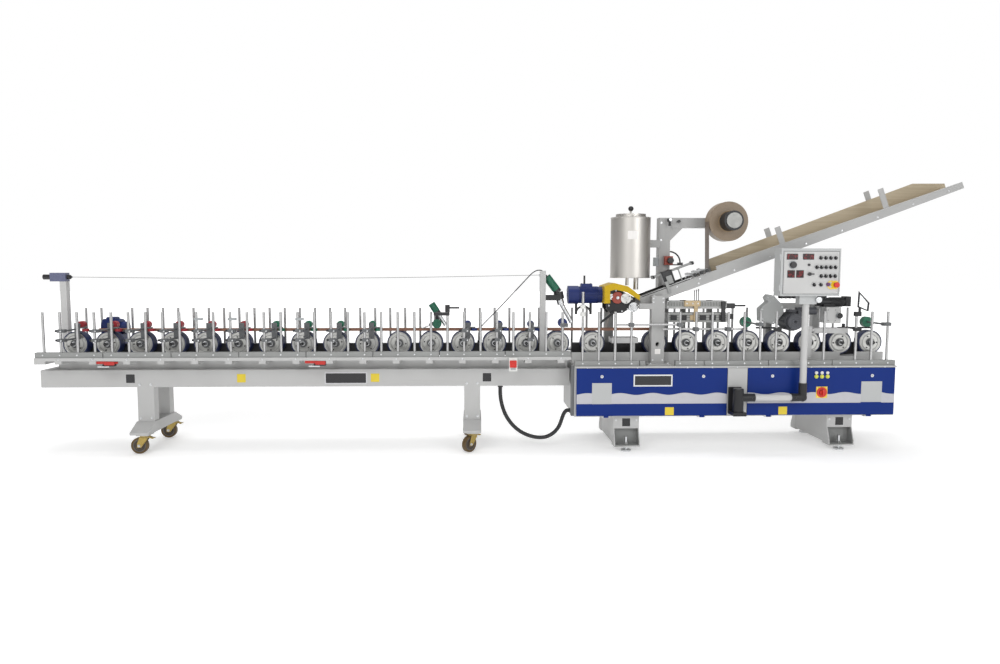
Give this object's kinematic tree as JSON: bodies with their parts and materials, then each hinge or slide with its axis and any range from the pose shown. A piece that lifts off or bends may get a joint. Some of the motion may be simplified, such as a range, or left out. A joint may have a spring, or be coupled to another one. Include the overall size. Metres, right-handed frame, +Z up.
{
  "type": "profile wrapping machine",
  "caption": "Line machine that glues and presses foil round wooden profiles: driven wheels in a row, rods with press rollers, glue head, foil reel, feed trough and swivel panel.",
  "frame": {"origin": "on the floor under the middle of the whole machine's box", "axes": "+X along the machine from the free end of the outfeed bench to the infeed, +Y from the operator's side to the back, +Z up"},
  "size_m": [7.2183, 0.872, 2.1024],
  "materials": {
    "frame_paint": "satin light grey paint",
    "bar_grey": "grey paint",
    "rod_steel": "ground and polished steel",
    "line_black": "black paint",
    "door_blue": "satin blue paint",
    "switch_red": "glossy red plastic",
    "arm_white": "white paint",
    "box_grey": "light grey paint",
    "head_black": "black painted plates",
    "tank_steel": "brushed stainless steel",
    "mandrel_black": "black paint",
    "foil_tan": "wound decor foil",
    "foil_brown": "decor foil",
    "profile_wood": "bare board",
    "holder_grey": "grey paint",
    "heater_grey": "grey paint",
    "brush_grey": "grey paint",
    "cord_black": "matt black sheath",
    "wheel_grey": "turned disc",
    "fork_zinc": "yellow zinc plating",
    "caster_rubber": "brown rubber"
  },
  "bodies": {
    "machine": {"outfeed_frame": "frame_paint", "base_frame": "frame_paint", "clamp_bars": "bar_grey", "guide_rods": "rod_steel", "drive_line": "line_black", "glue_column": "frame_paint", "infeed_trough": "frame_paint", "glue_head": "head_black", "glue_tank": "tank_steel", "foil_web": "foil_brown", "sample_profile": "profile_wood", "press_rollers": "holder_grey", "air_heaters": "heater_grey", "brush_unit": "brush_grey", "pull_switch": "arm_white", "pull_wire": "cord_black", "gun_cord": "cord_black", "supply_hose": "cord_black"},
    "wheel_01": {"drive_wheel_01": "wheel_grey"},
    "wheel_02": {"drive_wheel_02": "wheel_grey"},
    "wheel_03": {"drive_wheel_03": "wheel_grey"},
    "wheel_04": {"drive_wheel_04": "wheel_grey"},
    "wheel_05": {"drive_wheel_05": "wheel_grey"},
    "wheel_06": {"drive_wheel_06": "wheel_grey"},
    "wheel_07": {"drive_wheel_07": "wheel_grey"},
    "wheel_08": {"drive_wheel_08": "wheel_grey"},
    "wheel_09": {"drive_wheel_09": "wheel_grey"},
    "wheel_10": {"drive_wheel_10": "wheel_grey"},
    "wheel_11": {"drive_wheel_11": "wheel_grey"},
    "wheel_12": {"drive_wheel_12": "wheel_grey"},
    "wheel_13": {"drive_wheel_13": "wheel_grey"},
    "wheel_14": {"drive_wheel_14": "wheel_grey"},
    "wheel_15": {"drive_wheel_15": "wheel_grey"},
    "wheel_16": {"drive_wheel_16": "wheel_grey"},
    "wheel_17": {"drive_wheel_17": "wheel_grey"},
    "wheel_18": {"drive_wheel_18": "wheel_grey"},
    "wheel_19": {"drive_wheel_19": "wheel_grey"},
    "wheel_20": {"drive_wheel_20": "wheel_grey"},
    "wheel_21": {"drive_wheel_21": "wheel_grey"},
    "wheel_22": {"drive_wheel_22": "wheel_grey"},
    "wheel_23": {"drive_wheel_23": "wheel_grey"},
    "wheel_24": {"drive_wheel_24": "wheel_grey"},
    "wheel_25": {"drive_wheel_25": "wheel_grey"},
    "fork_1": {"caster_fork_1": "fork_zinc"},
    "roller_1": {"caster_wheel_1": "caster_rubber"},
    "fork_2": {"caster_fork_2": "fork_zinc"},
    "roller_2": {"caster_wheel_2": "caster_rubber"},
    "fork_3": {"caster_fork_3": "fork_zinc"},
    "roller_3": {"caster_wheel_3": "caster_rubber"},
    "fork_4": {"caster_fork_4": "fork_zinc"},
    "roller_4": {"caster_wheel_4": "caster_rubber"},
    "left_door": {"door_left": "door_blue"},
    "right_door": {"door_right": "door_blue"},
    "switch_knob": {"main_switch": "switch_red"},
    "arm": {"panel_arm": "arm_white"},
    "operator_panel": {"control_box": "box_grey"},
    "stop_button": {"estop_button": "switch_red"},
    "reel": {"roll_mandrel": "mandrel_black", "foil_roll": "foil_tan"},
    "lid": {"tank_lid": "tank_steel"}
  },
  "joints": [
    {"name": "spin_01", "type": "hinge", "parent": "machine", "child": "wheel_01", "pos_m": [-3.33115, 0.041, 0.822], "axis": [0, 1, 0], "continuous": true},
    {"name": "spin_02", "type": "hinge", "parent": "machine", "child": "wheel_02", "pos_m": [-3.08115, 0.041, 0.822], "axis": [0, 1, 0], "continuous": true},
    {"name": "spin_03", "type": "hinge", "parent": "machine", "child": "wheel_03", "pos_m": [-2.83115, 0.041, 0.822], "axis": [0, 1, 0], "continuous": true},
    {"name": "spin_04", "type": "hinge", "parent": "machine", "child": "wheel_04", "pos_m": [-2.58115, 0.041, 0.822], "axis": [0, 1, 0], "continuous": true},
    {"name": "spin_05", "type": "hinge", "parent": "machine", "child": "wheel_05", "pos_m": [-2.33115, 0.041, 0.822], "axis": [0, 1, 0], "continuous": true},
    {"name": "spin_06", "type": "hinge", "parent": "machine", "child": "wheel_06", "pos_m": [-2.08115, 0.041, 0.822], "axis": [0, 1, 0], "continuous": true},
    {"name": "spin_07", "type": "hinge", "parent": "machine", "child": "wheel_07", "pos_m": [-1.83115, 0.041, 0.822], "axis": [0, 1, 0], "continuous": true},
    {"name": "spin_08", "type": "hinge", "parent": "machine", "child": "wheel_08", "pos_m": [-1.58115, 0.041, 0.822], "axis": [0, 1, 0], "continuous": true},
    {"name": "spin_09", "type": "hinge", "parent": "machine", "child": "wheel_09", "pos_m": [-1.33115, 0.041, 0.822], "axis": [0, 1, 0], "continuous": true},
    {"name": "spin_10", "type": "hinge", "parent": "machine", "child": "wheel_10", "pos_m": [-1.08115, 0.041, 0.822], "axis": [0, 1, 0], "continuous": true},
    {"name": "spin_11", "type": "hinge", "parent": "machine", "child": "wheel_11", "pos_m": [-0.83115, 0.041, 0.822], "axis": [0, 1, 0], "continuous": true},
    {"name": "spin_12", "type": "hinge", "parent": "machine", "child": "wheel_12", "pos_m": [-0.58115, 0.041, 0.822], "axis": [0, 1, 0], "continuous": true},
    {"name": "spin_13", "type": "hinge", "parent": "machine", "child": "wheel_13", "pos_m": [-0.33115, 0.041, 0.822], "axis": [0, 1, 0], "continuous": true},
    {"name": "spin_14", "type": "hinge", "parent": "machine", "child": "wheel_14", "pos_m": [-0.08115, 0.041, 0.822], "axis": [0, 1, 0], "continuous": true},
    {"name": "spin_15", "type": "hinge", "parent": "machine", "child": "wheel_15", "pos_m": [0.16885, 0.041, 0.822], "axis": [0, 1, 0], "continuous": true},
    {"name": "spin_16", "type": "hinge", "parent": "machine", "child": "wheel_16", "pos_m": [0.41885, 0.041, 0.822], "axis": [0, 1, 0], "continuous": true},
    {"name": "spin_17", "type": "hinge", "parent": "machine", "child": "wheel_17", "pos_m": [0.69885, 0.041, 0.822], "axis": [0, 1, 0], "continuous": true},
    {"name": "spin_18", "type": "hinge", "parent": "machine", "child": "wheel_18", "pos_m": [1.19885, 0.041, 0.822], "axis": [0, 1, 0], "continuous": true},
    {"name": "spin_19", "type": "hinge", "parent": "machine", "child": "wheel_19", "pos_m": [1.44885, 0.041, 0.822], "axis": [0, 1, 0], "continuous": true},
    {"name": "spin_20", "type": "hinge", "parent": "machine", "child": "wheel_20", "pos_m": [1.69885, 0.041, 0.822], "axis": [0, 1, 0], "continuous": true},
    {"name": "spin_21", "type": "hinge", "parent": "machine", "child": "wheel_21", "pos_m": [1.94885, 0.041, 0.822], "axis": [0, 1, 0], "continuous": true},
    {"name": "spin_22", "type": "hinge", "parent": "machine", "child": "wheel_22", "pos_m": [2.19885, 0.041, 0.822], "axis": [0, 1, 0], "continuous": true},
    {"name": "spin_23", "type": "hinge", "parent": "machine", "child": "wheel_23", "pos_m": [2.44885, 0.041, 0.822], "axis": [0, 1, 0], "continuous": true},
    {"name": "spin_24", "type": "hinge", "parent": "machine", "child": "wheel_24", "pos_m": [2.69885, 0.041, 0.822], "axis": [0, 1, 0], "continuous": true},
    {"name": "spin_25", "type": "hinge", "parent": "machine", "child": "wheel_25", "pos_m": [2.94885, 0.041, 0.822], "axis": [0, 1, 0], "continuous": true},
    {"name": "swivel_1", "type": "hinge", "parent": "machine", "child": "fork_1", "pos_m": [-2.74615, -0.179, 0.144], "axis": [0, 0, 1], "continuous": true},
    {"name": "roll_1", "type": "hinge", "parent": "fork_1", "child": "roller_1", "pos_m": [-2.78615, -0.179, 0.0625], "axis": [0, 1, 0], "continuous": true},
    {"name": "swivel_2", "type": "hinge", "parent": "machine", "child": "fork_2", "pos_m": [-2.74615, 0.361, 0.144], "axis": [0, 0, 1], "continuous": true},
    {"name": "roll_2", "type": "hinge", "parent": "fork_2", "child": "roller_2", "pos_m": [-2.78615, 0.361, 0.0625], "axis": [0, 1, 0], "continuous": true},
    {"name": "swivel_3", "type": "hinge", "parent": "machine", "child": "fork_3", "pos_m": [-0.25315, -0.179, 0.144], "axis": [0, 0, 1], "continuous": true},
    {"name": "roll_3", "type": "hinge", "parent": "fork_3", "child": "roller_3", "pos_m": [-0.28143, -0.20728, 0.0625], "axis": [-0.7071, 0.7071, 0], "continuous": true},
    {"name": "swivel_4", "type": "hinge", "parent": "machine", "child": "fork_4", "pos_m": [-0.25315, 0.361, 0.144], "axis": [0, 0, 1], "continuous": true},
    {"name": "roll_4", "type": "hinge", "parent": "fork_4", "child": "roller_4", "pos_m": [-0.28143, 0.33272, 0.0625], "axis": [-0.7071, 0.7071, 0], "continuous": true},
    {"name": "left_door_hinge", "type": "hinge", "parent": "machine", "child": "left_door", "pos_m": [1.12385, -0.2493, 0.275], "axis": [1, 0, 0], "range_deg": [0, 90]},
    {"name": "right_door_hinge", "type": "hinge", "parent": "machine", "child": "right_door", "pos_m": [2.42385, -0.2493, 0.275], "axis": [1, 0, 0], "range_deg": [0, 8]},
    {"name": "main_switch_turn", "type": "hinge", "parent": "right_door", "child": "switch_knob", "pos_m": [2.43985, -0.269, 0.46], "axis": [0, 1, 0], "range_deg": [0, 90]},
    {"name": "arm_swing", "type": "hinge", "parent": "machine", "child": "arm", "pos_m": [1.75885, -0.339, 0.435], "axis": [0, 0, 1], "range_deg": [-90, 0]},
    {"name": "panel_turn", "type": "hinge", "parent": "arm", "child": "operator_panel", "pos_m": [2.25385, -0.339, 1.175], "axis": [0, 0, 1], "range_deg": [-90, 90]},
    {"name": "stop_press", "type": "slide", "parent": "operator_panel", "child": "stop_button", "axis": [0, 1, 0], "range_m": [0, 0.004], "stiffness_N_per_m": 800, "springref_m": -0.003},
    {"name": "reel_spin", "type": "hinge", "parent": "machine", "child": "reel", "pos_m": [1.76285, 0.041, 1.781], "axis": [0, 1, 0], "continuous": true},
    {"name": "lid_lift", "type": "slide", "parent": "machine", "child": "lid", "axis": [0, 0, 1], "range_m": [0, 0.25]}
  ],
  "couplings": [
    {"joint": "spin_02", "follows": "spin_01", "ratio": 1},
    {"joint": "spin_03", "follows": "spin_01", "ratio": 1},
    {"joint": "spin_04", "follows": "spin_01", "ratio": 1},
    {"joint": "spin_05", "follows": "spin_01", "ratio": 1},
    {"joint": "spin_06", "follows": "spin_01", "ratio": 1},
    {"joint": "spin_07", "follows": "spin_01", "ratio": 1},
    {"joint": "spin_08", "follows": "spin_01", "ratio": 1},
    {"joint": "spin_09", "follows": "spin_01", "ratio": 1},
    {"joint": "spin_10", "follows": "spin_01", "ratio": 1},
    {"joint": "spin_11", "follows": "spin_01", "ratio": 1},
    {"joint": "spin_12", "follows": "spin_01", "ratio": 1},
    {"joint": "spin_13", "follows": "spin_01", "ratio": 1},
    {"joint": "spin_14", "follows": "spin_01", "ratio": 1},
    {"joint": "spin_15", "follows": "spin_01", "ratio": 1},
    {"joint": "spin_16", "follows": "spin_01", "ratio": 1},
    {"joint": "spin_17", "follows": "spin_01", "ratio": 1},
    {"joint": "spin_18", "follows": "spin_01", "ratio": 1},
    {"joint": "spin_19", "follows": "spin_01", "ratio": 1},
    {"joint": "spin_20", "follows": "spin_01", "ratio": 1},
    {"joint": "spin_21", "follows": "spin_01", "ratio": 1},
    {"joint": "spin_22", "follows": "spin_01", "ratio": 1},
    {"joint": "spin_23", "follows": "spin_01", "ratio": 1},
    {"joint": "spin_24", "follows": "spin_01", "ratio": 1},
    {"joint": "spin_25", "follows": "spin_01", "ratio": 1}
  ]
}
